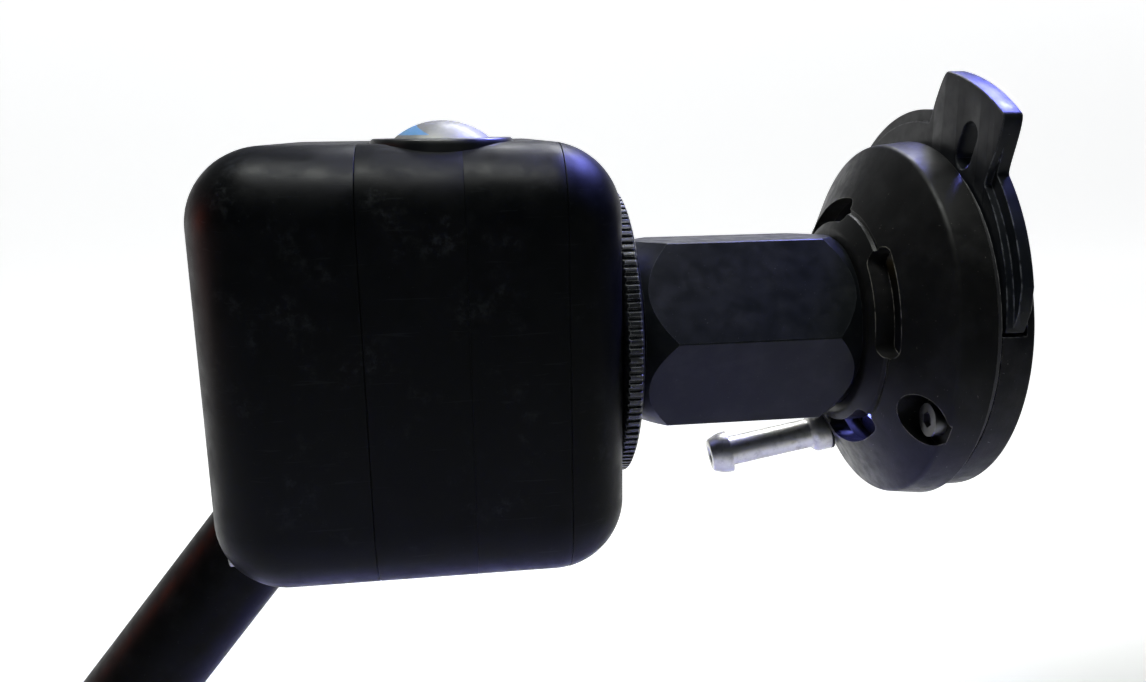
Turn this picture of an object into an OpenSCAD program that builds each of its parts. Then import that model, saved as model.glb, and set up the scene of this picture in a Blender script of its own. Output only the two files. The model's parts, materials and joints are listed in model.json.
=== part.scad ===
// Cube camera with a hexagonal coupling barrel and a quick-lock eyepiece coupler.
// +X runs along the barrel from the camera to the telescope, +Z is up.
// The origin is the centre of the coupler's mating face.
// Angles round the barrel run from +Z towards -Y.

/* [Housing] */
// Length of the housing along the barrel
body_l = 51; // [48:0.5:56]
// Width of the housing across the barrel
body_w = 52.6; // [51:0.2:56]
// Height of the housing
body_h = 54; // [53:0.5:58]
// Radius of the housing's edges
edge_r = 9.2; // [7:0.1:9.5]
// Thickness of the housing walls
wall = 2.2; // [1.8:0.1:2.4]
// Distance from the rear face to the first seam
seam_1 = 19.9; // [19.5:0.1:20.5]
// Distance from the rear face to the second seam
seam_2 = 31.9; // [31:0.1:33]
// Distance from the rear face to the third seam
seam_3 = 43.4; // [42.5:0.1:44]
// Distance from the mating face to the housing's centre
face_to_body = 76.7; // [76.7:0.1:79]

/* [Button] */
// Distance of the button ahead of the housing's centre
button_x = 4.2; // [3.5:0.1:5]
// Distance of the button towards the near side
button_y = 12.3; // [11.8:0.1:12.5]
// Diameter of the bezel where it leaves the housing
bezel_d = 18; // [17.5:0.1:18.4]
// Height of the bezel's rim above the housing
bezel_rise = 0.5; // [0.3:0.1:1]
// Diameter of the dome
dome_d = 11.6; // [11:0.1:11.8]
// Height of the dome above the bezel's rim
dome_rise = 2.1; // [1.5:0.1:2.6]
// Downward travel of the dome
button_travel = 0.9; // [0.5:0.1:0.9]

/* [Barrel] */
// Radius of the knurled lock ring
ring_r = 20; // [18:0.5:22]
// Width of the lock ring
ring_w = 2.4; // [2:0.1:2.4]
// Number of ridges on the lock ring
ridge_count = 110; // [60:1:140]
// Height of each ridge
ridge_h = 0.4; // [0.2:0.05:0.6]
// Hexagon size across its flats
hex_af = 25.4; // [25.4:0.1:27]
// Turned diameter over the hexagon's corners
hex_corner_d = 29.2; // [27.6:0.1:29.3]
// Length of the hexagon
hex_l = 30; // [29:0.1:30.2]
// Turn of the hexagon about the barrel
hex_turn = -2.9; // [-10:0.1:10]
// Radius of the camera thread
thread_r = 12.65; // [12.65:0.01:12.66]
// Radius of the light path
light_r = 7.5; // [6:0.1:8]

/* [Coupler] */
// Radius of the cover's rim
rim_r = 25.9; // [25.8:0.1:26.4]
// Radius where the cone of the cover meets its rim
cone_r = 25.5; // [25.2:0.1:25.7]
// Radius of the cover's hub
hub_r = 13.5; // [13.3:0.1:13.8]
// Distance from the mating face to the rim's near edge
rim_rear = 5.5; // [5.5:0.1:5.8]
// Distance from the mating face to the rim's front edge
rim_front = 10.2; // [10:0.1:10.5]
// Distance from the mating face to the hub's front
hub_front = 16.9; // [16.9:0.1:17.2]
// Radius of the middle of the slots
slot_r = 16.3; // [16:0.1:16.6]
// Width of the slots
slot_w = 3.4; // [3:0.1:3.6]
// Angle that each slot spans
slot_span = 54; // [40:1:60]
// Angle of the first slot's middle
slot_at = 70; // [60:1:75]
// Radius of the back flange
flange_r = 24.85; // [24.8:0.05:25.5]
// Radius of the socket that takes an eyepiece tube
socket_r = 15.95; // [15.92:0.01:15.98]

/* [Lever] */
// Radius of the lever's disc
disc_r = 28.2; // [27:0.1:28.5]
// Distance of the disc's centre off the barrel axis
disc_off = 2.7; // [2.5:0.1:3.5]
// Angle of the disc's centre
disc_at = -36; // [-50:1:-30]
// Radius of the thumb tab
tab_r = 35.8; // [34:0.1:38]
// Angle where the thumb tab starts
tab_from = 10; // [6:0.5:14]
// Angle where the thumb tab ends
tab_to = 34.5; // [30:0.5:36]
// Angle that the lever turns to release
lever_turn = 30; // [20:1:30]
// Outward travel of the jaws as the lever turns
jaw_travel = 0.9; // [0.6:0.1:0.9]

/* [Hose barb] */
// Angle of the barb round the barrel
barb_at = 200; // [200:1:206]
// Radius where the barb leaves the cover
barb_from = 20.3; // [20:0.1:20.6]
// Tilt of the barb away from the barrel
barb_tilt = 12.3; // [8:0.1:15]
// Diameter of the barb's shank
barb_d = 4.6; // [4:0.1:4.8]
// Length of the barb in front of the cover
barb_l = 19.5; // [14:0.5:22]

/* [Support tube] */
// Diameter of the support tube
tube_d = 14; // [12:0.5:14]
// Wall of the support tube
tube_wall = 1.5; // [1:0.1:2]
// Angle of the tube below the barrel
tube_slope = 50.7; // [48:0.1:53]
// Distance from the housing's centre to the tube's far end
tube_end = 130; // [80:1:160]

/* [Hidden] */
$fn = 96;
eps = 0.01;
over = 1;
hull_fn = 32;
hull_slack = 0.06;

// Housing stations along X
body_x = -face_to_body;
rear_x = body_x - body_l / 2;
front_x = body_x + body_l / 2;
cut_1 = rear_x + seam_1;
cut_2 = rear_x + seam_2;
cut_3 = rear_x + seam_3;
in_w = body_w - 2 * wall;
in_h = body_h - 2 * wall;
in_r = edge_r - wall;
in_top = in_h / 2;
seal_w = 1.2;
seal_t = 1;
seal_gap = 0.5;

// Housing screws, as [y, z]
pillar_at = [[20, 20.7], [20, -20.7], [-16.8, -21.9], [6.2, 21.9]];
pillar_r = 3.2;
screw_r = 1.5;
screw_head_r = 2.6;
screw_head_h = 2.5;
small_screw_r = 1.25;
small_screw_head_r = 2.1;
screw_seat = rear_x + 4;
screw_tip = front_x - 4;

// Button heights
rim_z = body_h / 2 + bezel_rise;
bezel_seat = in_top - 0.8;
boss_r = 10.5;
boss_z = 21.5;
bezel_thread_r = 7.6;
bezel_floor = 22.8;
bezel_base = 20.4;
lip_z = rim_z - 1.8;
dome_flange_r = 6.6;
dome_bore_r = 6.8;
dome_base = 24.5;
dome_roof = 26.2;
dome_wall = 0.9;
stem_r = 2;
stem_base = 21;
dome_ball = (pow(dome_d / 2, 2) + pow(dome_rise, 2)) / (2 * dome_rise);
inlay_t = 0.3;
switch_top = stem_base - button_travel - 0.2;
board_t = 1.2;
switch_board_z = 17;
post_y = 12.3;
post_x = 6;
spring_r = 4;
spring_wire = 0.25;
spring_turns = 4;

// Sensor stack, from the front wall back
nose_r = 13.9;
nose_flange_r = 16.5;
nose_flange_t = 1.8;
nose_back = front_x - wall - hull_slack - nose_flange_t;
nose_lip = 1;
window_r = 12.3;
window_t = 1.4;
gasket_t = 0.6;
gasket_in = 10.3;
window_back = nose_back - gasket_t - window_t;
carrier_w = 36;
carrier_t = 2.8;
carrier_back = window_back - carrier_t;
sensor_back = carrier_back - board_t - 0.4;
sensor_t = 1.8;
carrier_hole = 14;
nose_hole = 15.2;
main_x = body_x - 4.5;
main_t = 1.6;
main_w = 36;
main_low = -18;
main_high = 15;
spacer_y = 15.5;
spacer_z = 8;

// Barrel stations along X
ring_front = front_x + 0.2 + ring_w;
ring_clear = 0.05;
neck_r = 11.4;
neck_back = ring_front - 0.9;
hex_back = -hub_front - 0.1 - hex_l;
hex_front = hex_back + hex_l;
hex_corner_r = hex_corner_d / 2;
chamfer_l = (hex_corner_r - hex_af / 2 + 0.4) / tan(30);
spigot_r = 11.5;
spigot_front = -9.5;
cell_r = 9.5;
lens_r = 9.45;
shoulder_back = -42;
shoulder_front = -40;
lens_edge = 2;
lens_curve = 30;
lens_sag = lens_curve - sqrt(lens_curve * lens_curve - lens_r * lens_r);
spacer_back = shoulder_front + lens_edge + 0.5;
spacer_front = -26;
front_lens_front = spacer_front + lens_edge;
retainer_l = 2.5;
retainer_in_r = 8.2;
rear_retainer_x = shoulder_back - lens_edge - 0.5;
front_retainer_x = front_lens_front + 0.5;
oring_r = 0.6;

// Coupler stations along X, behind the mating face
cavity_r = 24.3;
cavity_back = -8.4;
step_r = 18.6;
step_back = -11.2;
hub_in = -13.9;
groove_w = 0.6;
groove_floor = -hub_front + (slot_r - hub_r) * (hub_front - rim_front) / (cone_r - hub_r) + 0.35;
bulb = 0.05;
pocket_r = 3.4;
pocket_at = 22.3;
pocket_floor = -9.6;
bell_screw_angles = [115, 295];
carrier_in_r = 16.4;
jaw_bed_r = 22.6;
jaw_bed = -8.3;
jaw_back = -8.1;
jaw_front = -5.4;
plate_back = -5.2;
plate_front = -4.4;
lever_back = -4.15;
lever_front = -1.45;
flange_t = 1.2;
sleeve_r = 16.9;
lever_bore_r = 16.95;
wall_in_r = 21.5;
lever_hub_r = 21.2;
wall_gaps = [[-127, 84.8], [160, 172]];
flange_screw_angles = [98, 132, 200];
flange_screw_at = 23.1;
flange_screw_r = 0.8;
flange_screw_l = 6.8;
flange_screw_sink = 0.9;
flange_head_r = 1.4;
lobe_from = -95;
lobe_bevel = 71.5;
lobe_to = 83.6;
flank = 6;
flank_step = 1.5;
lever_step = -3.2;
step_in = 1.7;
bevel_swell = 0.3;
oval_at = 26;
oval_r = 28.3;
oval_w = 3.7;
oval_l = 6.4;

// Jaws and the cam slots that move them
jaw_angles = [150, 270, 30];
jaw_w = 9;
jaw_gap = 0.1;
jaw_face_r = 15.95;
jaw_out = 21.3;
pin_r = 1.1;
pin_front = -1.9;
pin_in = 18.5;
pin_slot_w = 2.7;
cam_w = 2.5;
cam_mid = pin_in + jaw_travel / 2;
cam_off = jaw_travel / (lever_turn * PI / 180);
cam_r = sqrt(cam_mid * cam_mid + cam_off * cam_off);

// Barb and tube
barb_x = -rim_front - (cone_r - barb_from) * (hub_front - rim_front) / (cone_r - hub_r);
barb_collar_r = 3.1;
barb_collar_l = 3.2;
barb_head_l = 3.2;
barb_bore_r = 1.2;
barb_spigot_r = 1.9;
tube_r = tube_d / 2;
tube_start = 19.5;
tube_neck = 48;
tube_turned = 0.2;
tube_aim = -1.6;
block_w = 26;
block_y = 24;
block_end = 32;
socket_screw_at = [-13.5, 8.5];
socket_screw_sink = 1.2;
socket_screw_l = 6.8;
plug_l = 12;
plug_r = tube_r - tube_wall - 0.02;

// Turns children so that their own Z runs along +X and their own X points up
module along(x) {
    translate([x, 0, 0]) rotate([0, 90, 0]) rotate([0, 0, 180]) children();
}

// A disc or cylinder on the barrel axis between two stations
module rod(x0, x1, r) {
    along(x0) cylinder(h = x1 - x0, r = r);
}

// A ring on the barrel axis between two stations
module ring(x0, x1, r_in, r_out) {
    difference() {
        rod(x0, x1, r_out);
        rod(x0 - over, x1 + over, r_in);
    }
}

// A part of a ring between two angles
module sector(x0, x1, r_in, r_out, a0, a1) {
    along(x0) rotate([0, 0, a0]) rotate_extrude(angle = a1 - a0)
        translate([r_in, 0]) square([r_out - r_in, x1 - x0]);
}

// Places children at a radius and an angle round the barrel
module round_at(x, r, a) {
    along(x) rotate([0, 0, a]) translate([r, 0, 0]) children();
}

// A block given by its lowest corner and its highest corner
module block(from, to) {
    translate(from) cube(to - from);
}

// A flat rounded rectangle
module rounded(w, h, r) {
    square([w - 2 * r, h], center = true);
    square([w, h - 2 * r], center = true);
    for (x = [-1, 1], y = [-1, 1])
        translate([x * (w / 2 - r), y * (h / 2 - r)]) circle(r);
}

// A straight length of the housing's section, grown by g
module bar(x0, x1, g) {
    along(x0) linear_extrude(x1 - x0) rounded(body_h + 2 * g, body_w + 2 * g, edge_r + g);
}

// The whole housing as one rounded block, grown by g
module shell(g) {
    hull() for (x = [-1, 1], y = [-1, 1], z = [-1, 1])
        translate([body_x + x * (body_l / 2 - edge_r), y * (body_w / 2 - edge_r), z * (body_h / 2 - edge_r)])
            sphere(edge_r + g, $fn = hull_fn);
}

// The length of the housing's wall between two stations
module shell_part(x0, x1) {
    difference() {
        intersection() {
            shell(0);
            block([x0, -body_w, -body_h], [x1, body_w, body_h]);
        }
        shell(-wall);
    }
}

// Screw pillars between two stations
module pillars(x0, x1) {
    for (p = pillar_at) translate([x0, p[0], p[1]]) rotate([0, 90, 0]) cylinder(h = x1 - x0, r = pillar_r);
}

// Screw holes between two stations
module pillar_holes(x0, x1, r) {
    for (p = pillar_at) translate([x0, p[0], p[1]]) rotate([0, 90, 0]) cylinder(h = x1 - x0, r = r);
}

// Places children on the button's axis
module at_button() {
    translate([body_x + button_x, -button_y, 0]) children();
}

// Places children at the mouths of the socket's screws, under the housing
module at_socket_screws() {
    for (y = [-1, 1])
        translate([body_x + socket_screw_at[0], y * socket_screw_at[1], -body_h / 2]) children();
}

// Places children on the tube's axis, with their own Z pointing out of the housing
module at_tube() {
    translate([body_x + tube_aim, 0, 0]) rotate([0, 270 - tube_slope, 0]) children();
}

// A plano-convex lens whose flat side is at x; side 1 bulges towards +X
module lens(x, side) {
    along(x) mirror([0, 0, side > 0 ? 0 : 1]) intersection() {
        cylinder(h = lens_edge + lens_sag, r = lens_r);
        translate([0, 0, lens_edge + lens_sag - lens_curve]) sphere(lens_curve);
    }
}

// A screw along its own -Z with its head seat at zero
module screw(head_r, head_h, shank_r, l) {
    difference() {
        cylinder(h = head_h, r = head_r);
        translate([0, 0, head_h / 2]) cylinder(h = head_h, r = head_r / 2, $fn = 6);
    }
    translate([0, 0, -l]) cylinder(h = l + eps, r = shank_r);
}

// Points and faces of a coil round Z
function coil_point(r, wire, pitch, t, s) =
    let (a = 360 * t, b = 60 * s, q = r + wire * cos(b)) [q * cos(a), q * sin(a), pitch * t + wire * sin(b)];
module coil(r, wire, pitch, turns) {
    steps = 24 * turns;
    points = [for (i = [0:steps], s = [0:5]) coil_point(r, wire, pitch, i / 24, s)];
    sides = [for (i = [0:steps - 1], s = [0:5])
        [6 * i + s, 6 * (i + 1) + s, 6 * (i + 1) + (s + 1) % 6, 6 * i + (s + 1) % 6]];
    ends = [[for (s = [0:5]) s], [for (s = [5:-1:0]) 6 * steps + s]];
    polyhedron(points, concat(sides, ends), convexity = 8);
}

module rear_cover() {
    color("#1c1d1f") difference() {
        union() {
            shell_part(rear_x - over, cut_1);
            pillars(screw_seat - 1.5, cut_1);
        }
        pillar_holes(rear_x - over, cut_1 + over, screw_r + 0.1);
        pillar_holes(rear_x - over, screw_seat, screw_head_r + 0.2);
        at_tube() cylinder(h = 2 * tube_start + body_h, r = tube_r - tube_turned + 0.05);
        at_socket_screws() translate([0, 0, -over]) {
            cylinder(h = 2 * wall + over, r = small_screw_r + 0.1);
            cylinder(h = socket_screw_sink + over, r = small_screw_head_r + 0.1);
        }
    }
}

// What the two middle frames share: the child is the frame's wall
module frame(x0, x1) {
    difference() {
        union() {
            children();
            pillars(x0, x1);
            intersection() {
                bar(x0, x1, -wall / 2);
                at_button() translate([0, 0, boss_z]) cylinder(h = body_h, r = boss_r);
            }
        }
        pillar_holes(x0 - over, x1 + over, screw_r + 0.1);
        at_button() {
            translate([0, 0, boss_z - over]) cylinder(h = body_h, r = bezel_thread_r + 0.1);
            translate([0, 0, bezel_seat]) cylinder(h = body_h, r = bezel_d / 2 + 0.05);
        }
    }
}

module rear_frame() {
    color("#18191b") frame(cut_1, cut_2) difference() {
        bar(cut_1, cut_2, 0);
        bar(cut_1 - over, cut_2 + over, -wall);
    }
}

module front_frame() {
    color("#1c1d1f") frame(cut_2, cut_3) shell_part(cut_2, cut_3);
}

module front_cover() {
    color("#18191b") difference() {
        union() {
            shell_part(cut_3, front_x + over);
            pillars(cut_3, front_x - wall);
            for (y = [-1, 1], z = [-1, 1]) translate([window_back, y * carrier_hole, z * carrier_hole])
                rotate([0, 90, 0]) cylinder(h = front_x - wall / 2 - window_back, r = 2.6);
        }
        pillar_holes(cut_3 - over, screw_tip, screw_r);
        rod(nose_back - over, front_x + over, nose_r + 0.05);
        for (y = [-1, 1], z = [-1, 1]) translate([window_back - over, y * carrier_hole, z * carrier_hole])
            rotate([0, 90, 0]) cylinder(h = 3 + over, r = 1.1);
        for (a = [0:90:270]) round_at(front_x - wall - over, nose_hole, a) cylinder(h = 1.3 + over, r = 0.7);
    }
}

module housing_seals() {
    color("#303234") for (x = [cut_1, cut_2, cut_3]) difference() {
        bar(x - seal_w / 2, x + seal_w / 2, -wall - seal_gap);
        bar(x - seal_w, x + seal_w, -wall - seal_gap - seal_t);
        pillars(x - seal_w, x + seal_w);
        at_button() translate([0, 0, boss_z - 4]) cylinder(h = body_h, r = boss_r + 0.2);
        socket_block(0.2);
    }
}

module housing_screws() {
    color("#8d9094") for (p = pillar_at) translate([screw_seat, p[0], p[1]]) rotate([0, -90, 0])
        screw(screw_head_r, screw_head_h, screw_r, screw_tip - screw_seat - 0.5);
}

module support_tube() {
    color("#141516") at_tube() difference() {
        union() {
            translate([0, 0, tube_start]) cylinder(h = tube_neck - tube_start, r = tube_r - tube_turned);
            translate([0, 0, tube_neck]) cylinder(h = tube_end - tube_neck, r = tube_r);
        }
        cylinder(h = tube_end + over, r = tube_r - tube_wall);
    }
}

// The block that holds the tube, grown by g
module socket_block(g) {
    at_tube() translate([-block_w / 2 - g, -block_y / 2 - g, tube_start - g])
        cube([block_w + 2 * g, block_y + 2 * g, block_end - tube_start + g]);
}

module tube_socket() {
    color("#7f8286") difference() {
        intersection() {
            shell(-wall - 0.1);
            socket_block(0);
        }
        at_tube() cylinder(h = tube_end, r = tube_r - tube_turned + 0.02);
        at_socket_screws() cylinder(h = socket_screw_sink + socket_screw_l + 0.2, r = small_screw_r);
    }
}

module socket_screws() {
    color("#8d9094") at_socket_screws() translate([0, 0, socket_screw_sink]) rotate([180, 0, 0])
        screw(small_screw_head_r, socket_screw_sink - 0.1, small_screw_r, socket_screw_l);
}

module tube_end_plug() {
    color("#26282a") at_tube() difference() {
        union() {
            translate([0, 0, tube_end - plug_l]) cylinder(h = plug_l, r = plug_r);
            translate([0, 0, tube_end]) cylinder(h = 1.5, r = tube_r);
        }
        translate([0, 0, tube_end - plug_l + 1.5]) cylinder(h = plug_l + over, r = 2.5);
    }
}

module button_bezel() {
    color("#1a1b1d") at_button() rotate_extrude() polygon([
        [stem_r + 0.3, bezel_floor - 1.5], [stem_r + 0.3, bezel_floor], [dome_bore_r, bezel_floor],
        [dome_bore_r, lip_z], [dome_d / 2 + 0.2, lip_z], [dome_d / 2 + 0.2, rim_z - 0.2],
        [dome_d / 2 + 0.4, rim_z], [bezel_d / 2 - 0.5, rim_z], [bezel_d / 2 - 0.3, rim_z - 0.2],
        [bezel_d / 2, rim_z - 1.8], [bezel_d / 2, bezel_seat], [bezel_thread_r, bezel_seat],
        [bezel_thread_r, bezel_base], [dome_bore_r, bezel_base], [dome_bore_r, bezel_floor - 1.5]
    ]);
}

module button_nut() {
    color("#9a9da0") at_button() translate([0, 0, boss_z - 2]) difference() {
        cylinder(h = 2, r = 9.5, $fn = 6);
        translate([0, 0, -over]) cylinder(h = 2 + 2 * over, r = bezel_thread_r + 0.02);
    }
}

// The crescent that the inlay fills, drawn from above
module crescent() {
    difference() {
        circle(dome_d / 2 - 0.5);
        translate([dome_d * 0.22, -dome_d * 0.12]) circle(dome_d * 0.47);
    }
}

// The dome's ball, moved so that its top is at the dome's top
module dome_sphere(g) {
    translate([0, 0, rim_z + dome_rise - dome_ball]) sphere(dome_ball + g);
}

module button_dome() {
    color("#cfc8ba") at_button() {
        difference() {
            union() {
                intersection() {
                    translate([0, 0, dome_base]) cylinder(h = body_h, r = dome_d / 2);
                    dome_sphere(0);
                }
                translate([0, 0, dome_base]) cylinder(h = 0.8, r = dome_flange_r);
            }
            translate([0, 0, dome_base - over])
                cylinder(h = dome_roof - dome_base + over, r = dome_d / 2 - dome_wall);
            difference() {
                translate([0, 0, rim_z]) linear_extrude(dome_rise + over) crescent();
                dome_sphere(-inlay_t);
            }
        }
        translate([0, 0, stem_base]) cylinder(h = dome_roof - stem_base + 0.2, r = stem_r);
    }
}

module dome_inlay() {
    color("#7fb2d8") at_button() intersection() {
        translate([0, 0, rim_z]) linear_extrude(dome_rise + over) crescent();
        difference() {
            dome_sphere(0);
            dome_sphere(-inlay_t);
        }
    }
}

module button_spring() {
    pitch = (dome_roof - bezel_floor - 2 * spring_wire - 0.1) / spring_turns;
    color("#b9bcc0") at_button() translate([0, 0, bezel_floor + spring_wire + 0.05])
        coil(spring_r, spring_wire, pitch, spring_turns);
}

module tactile_switch() {
    color("#3a3c3f") at_button() {
        translate([-3, -3, switch_board_z + board_t]) cube([6, 6, 1]);
        translate([0, 0, switch_board_z + board_t])
            cylinder(h = switch_top - switch_board_z - board_t, r = 1.6);
    }
}

module switch_board() {
    color("#1f5a3a") at_button() difference() {
        translate([-9, -7, switch_board_z]) cube([18, 21.5, board_t]);
        for (x = [-1, 1]) translate([x * post_x, post_y, switch_board_z - over])
            cylinder(h = board_t + 2 * over, r = 1.05);
    }
}

module switch_posts() {
    color("#b8a060") at_button() for (x = [-1, 1]) translate([x * post_x, post_y, 0]) {
        translate([0, 0, switch_board_z + board_t])
            cylinder(h = in_top - hull_slack - switch_board_z - board_t, r = 1.9);
        translate([0, 0, switch_board_z - 1]) cylinder(h = board_t + 1 + eps, r = 1);
        translate([0, 0, switch_board_z - 1]) cylinder(h = 1, r = 1.9);
    }
}

module mount_nose() {
    color("#2b2d30") difference() {
        union() {
            rod(nose_back, nose_back + nose_flange_t, nose_flange_r);
            rod(nose_back, front_x, nose_r);
        }
        rod(nose_back + nose_lip, front_x + over, thread_r + ring_clear);
        rod(nose_back - over, front_x, gasket_in);
        for (a = [0:90:270]) round_at(nose_back - over, nose_hole, a)
            cylinder(h = 2 * nose_flange_t, r = 0.8);
    }
}

module nose_screws() {
    color("#8d9094") for (a = [0:90:270]) round_at(nose_back, nose_hole, a) rotate([180, 0, 0])
        screw(1.2, 0.7, 0.68, nose_flange_t + 1.2);
}

module window_gasket() {
    color("#2a2a2a") ring(nose_back - gasket_t, nose_back, gasket_in, window_r);
}

module sensor_window() {
    color("#9fc3c9") rod(window_back, window_back + window_t, window_r);
}

module sensor_carrier() {
    color("#3b3d40") difference() {
        block([carrier_back, -carrier_w / 2, -carrier_w / 2], [window_back, carrier_w / 2, carrier_w / 2]);
        block([carrier_back - over, -11, -9], [window_back + over, 11, 9]);
        for (y = [-1, 1], z = [-1, 1]) translate([carrier_back - over, y * carrier_hole, z * carrier_hole])
            rotate([0, 90, 0]) cylinder(h = carrier_t + 2 * over, r = 1.15);
    }
}

module image_sensor() {
    color("#4b3a6a") block([carrier_back, -10, -8], [carrier_back + sensor_t, 10, 8]);
}

module sensor_board() {
    color("#1f5a3a") difference() {
        block([sensor_back, -carrier_w / 2, -carrier_w / 2], [carrier_back, carrier_w / 2, carrier_w / 2]);
        for (y = [-1, 1], z = [-1, 1]) translate([sensor_back - over, y * carrier_hole, z * carrier_hole])
            rotate([0, 90, 0]) cylinder(h = 2 * board_t + 2 * over, r = 1.15);
    }
}

module carrier_screws() {
    color("#8d9094") for (y = [-1, 1], z = [-1, 1])
        translate([sensor_back, y * carrier_hole, z * carrier_hole]) rotate([0, -90, 0])
            screw(1.9, 1.3, 1.08, window_back - sensor_back + 2.8);
}

module main_board() {
    color("#1f5a3a") block([main_x - main_t, -main_w / 2, main_low], [main_x, main_w / 2, main_high]);
}

module board_spacers() {
    color("#b8a060") for (y = [-1, 1], z = [-1, 1])
        translate([main_x, y * spacer_y, z * spacer_z]) rotate([0, 90, 0])
            cylinder(h = sensor_back - main_x, r = 2);
}

module board_sockets() {
    color("#e4e0d4") {
        block([main_x, -6, -15.5], [main_x + 3, 6, -12.5]);
        block([sensor_back - 3, -6, -15.5], [sensor_back, 6, -12.5]);
        block([main_x - main_t - 5, -5, 4], [main_x - main_t, 5, 9]);
    }
}

module ribbon_cable() {
    color("#c9b48a") block([main_x + 3, -5, -14.2], [sensor_back - 3, 5, -13.9]);
}

// Outline of the ridged ring: each ridge is two steps of the circle wide
module ridged() {
    n = 4 * ridge_count;
    polygon([for (i = [0:n - 1]) let (r = ring_r - (i % 4 < 2 ? 0 : ridge_h), a = 360 * i / n)
        [r * cos(a), r * sin(a)]]);
}

module lock_ring() {
    color("#232426") difference() {
        along(ring_front - ring_w) linear_extrude(ring_w) ridged();
        rod(ring_front - ring_w - over, ring_front + over, thread_r + ring_clear);
    }
}

module barrel_oring() {
    color("#101010") along((neck_back + hex_back) / 2) rotate_extrude()
        translate([neck_r + oring_r, 0]) circle(oring_r, $fn = 24);
}

// The hexagon with its corners turned down and both ends chamfered
module hexagon() {
    intersection() {
        along(hex_back) rotate([0, 0, 30 + hex_turn]) cylinder(h = hex_l, r = hex_af / 2 / cos(30), $fn = 6);
        along(hex_back) rotate_extrude() polygon([
            [0, 0], [hex_af / 2 - 0.4, 0], [hex_corner_r, chamfer_l],
            [hex_corner_r, hex_l - chamfer_l], [hex_af / 2 - 0.4, hex_l], [0, hex_l]
        ]);
    }
}

module hex_barrel() {
    color("#1d1f22") difference() {
        union() {
            hexagon();
            rod(nose_back + nose_lip + 0.2, neck_back, thread_r);
            rod(neck_back - eps, hex_back + eps, neck_r);
            rod(hex_front - eps, spigot_front, spigot_r);
        }
        rod(nose_back - over, shoulder_back, cell_r);
        rod(shoulder_back - over, shoulder_front + over, light_r);
        rod(shoulder_front, spigot_front + over, cell_r);
    }
}

module rear_lens() {
    color("#a9c4d4") lens(shoulder_back, -1);
}

module rear_retainer() {
    color("#2b2d30") ring(rear_retainer_x - retainer_l, rear_retainer_x, retainer_in_r, lens_r);
}

module middle_lens() {
    color("#a9c4d4") lens(shoulder_front, 1);
}

module lens_spacer() {
    color("#2b2d30") ring(spacer_back, spacer_front, retainer_in_r, lens_r);
}

module front_lens() {
    color("#a9c4d4") lens(spacer_front, 1);
}

module front_retainer() {
    color("#2b2d30") ring(front_retainer_x, front_retainer_x + retainer_l, retainer_in_r, lens_r);
}

// Places children on the barb's axis, with their own Z pointing out of the cover
module at_barb() {
    rotate([barb_at, 0, 0]) translate([barb_x, 0, barb_from]) rotate([0, barb_tilt - 90, 0]) children();
}

module bell_cover() {
    color("#202122") difference() {
        along(0) rotate_extrude() polygon([
            [spigot_r + 0.05, -hub_front], [hub_r, -hub_front], [cone_r, -rim_front],
            [rim_r, -rim_rear], [cavity_r, -rim_rear], [cavity_r, cavity_back],
            [step_r, cavity_back], [step_r, step_back], [hub_r + 0.5, hub_in], [spigot_r + 0.05, hub_in]
        ]);
        for (a = [slot_at:90:slot_at + 270]) {
            half = slot_span / 2 - asin(slot_w / 2 / slot_r);
            sector(-hub_front - over, cavity_back, slot_r - slot_w / 2, slot_r + slot_w / 2,
                a - half, a + half);
            for (s = [-1, 1]) round_at(-hub_front - over, slot_r, a + s * half)
                cylinder(h = hub_front, r = slot_w / 2 + bulb);
        }
        ring(-hub_front - over, groove_floor, slot_r - groove_w / 2, slot_r + groove_w / 2);
        for (a = bell_screw_angles) {
            round_at(-hub_front - over, pocket_at, a)
                cylinder(h = hub_front + over + pocket_floor, r = pocket_r);
            round_at(pocket_floor - over, pocket_at, a)
                cylinder(h = 2 * over + 1.2, r = small_screw_r + 0.05);
        }
        at_barb() {
            cylinder(h = 8, r = barb_collar_r + 0.3);
            translate([0, 0, -8]) cylinder(h = 9, r = barb_spigot_r + 0.02);
        }
    }
}

module bell_screws() {
    color("#c9ccd0") for (a = bell_screw_angles) round_at(pocket_floor, pocket_at, a) rotate([180, 0, 0])
        screw(small_screw_head_r + 0.1, 1.6, small_screw_r, 3.6);
}

module hose_barb() {
    color("#a8a6a2") at_barb() rotate_extrude() polygon([
        [barb_bore_r, -2.6], [barb_spigot_r, -2.6], [barb_spigot_r, 0.4], [barb_collar_r, 0.4],
        [barb_collar_r, barb_collar_l - 0.6], [barb_d / 2 + 0.4, barb_collar_l],
        [barb_d / 2, barb_collar_l], [barb_d / 2, barb_l - barb_head_l],
        [barb_d / 2 + 1, barb_l - barb_head_l], [barb_d / 2 + 0.9, barb_l - barb_head_l + 1.4],
        [barb_d / 2 + 0.25, barb_l], [barb_bore_r, barb_l]
    ]);
}

module barb_washer() {
    color("#2a2a2a") at_barb() difference() {
        cylinder(h = 0.4, r = barb_collar_r);
        translate([0, 0, -over]) cylinder(h = 2 * over + 0.4, r = barb_spigot_r + 0.02);
    }
}

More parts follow.
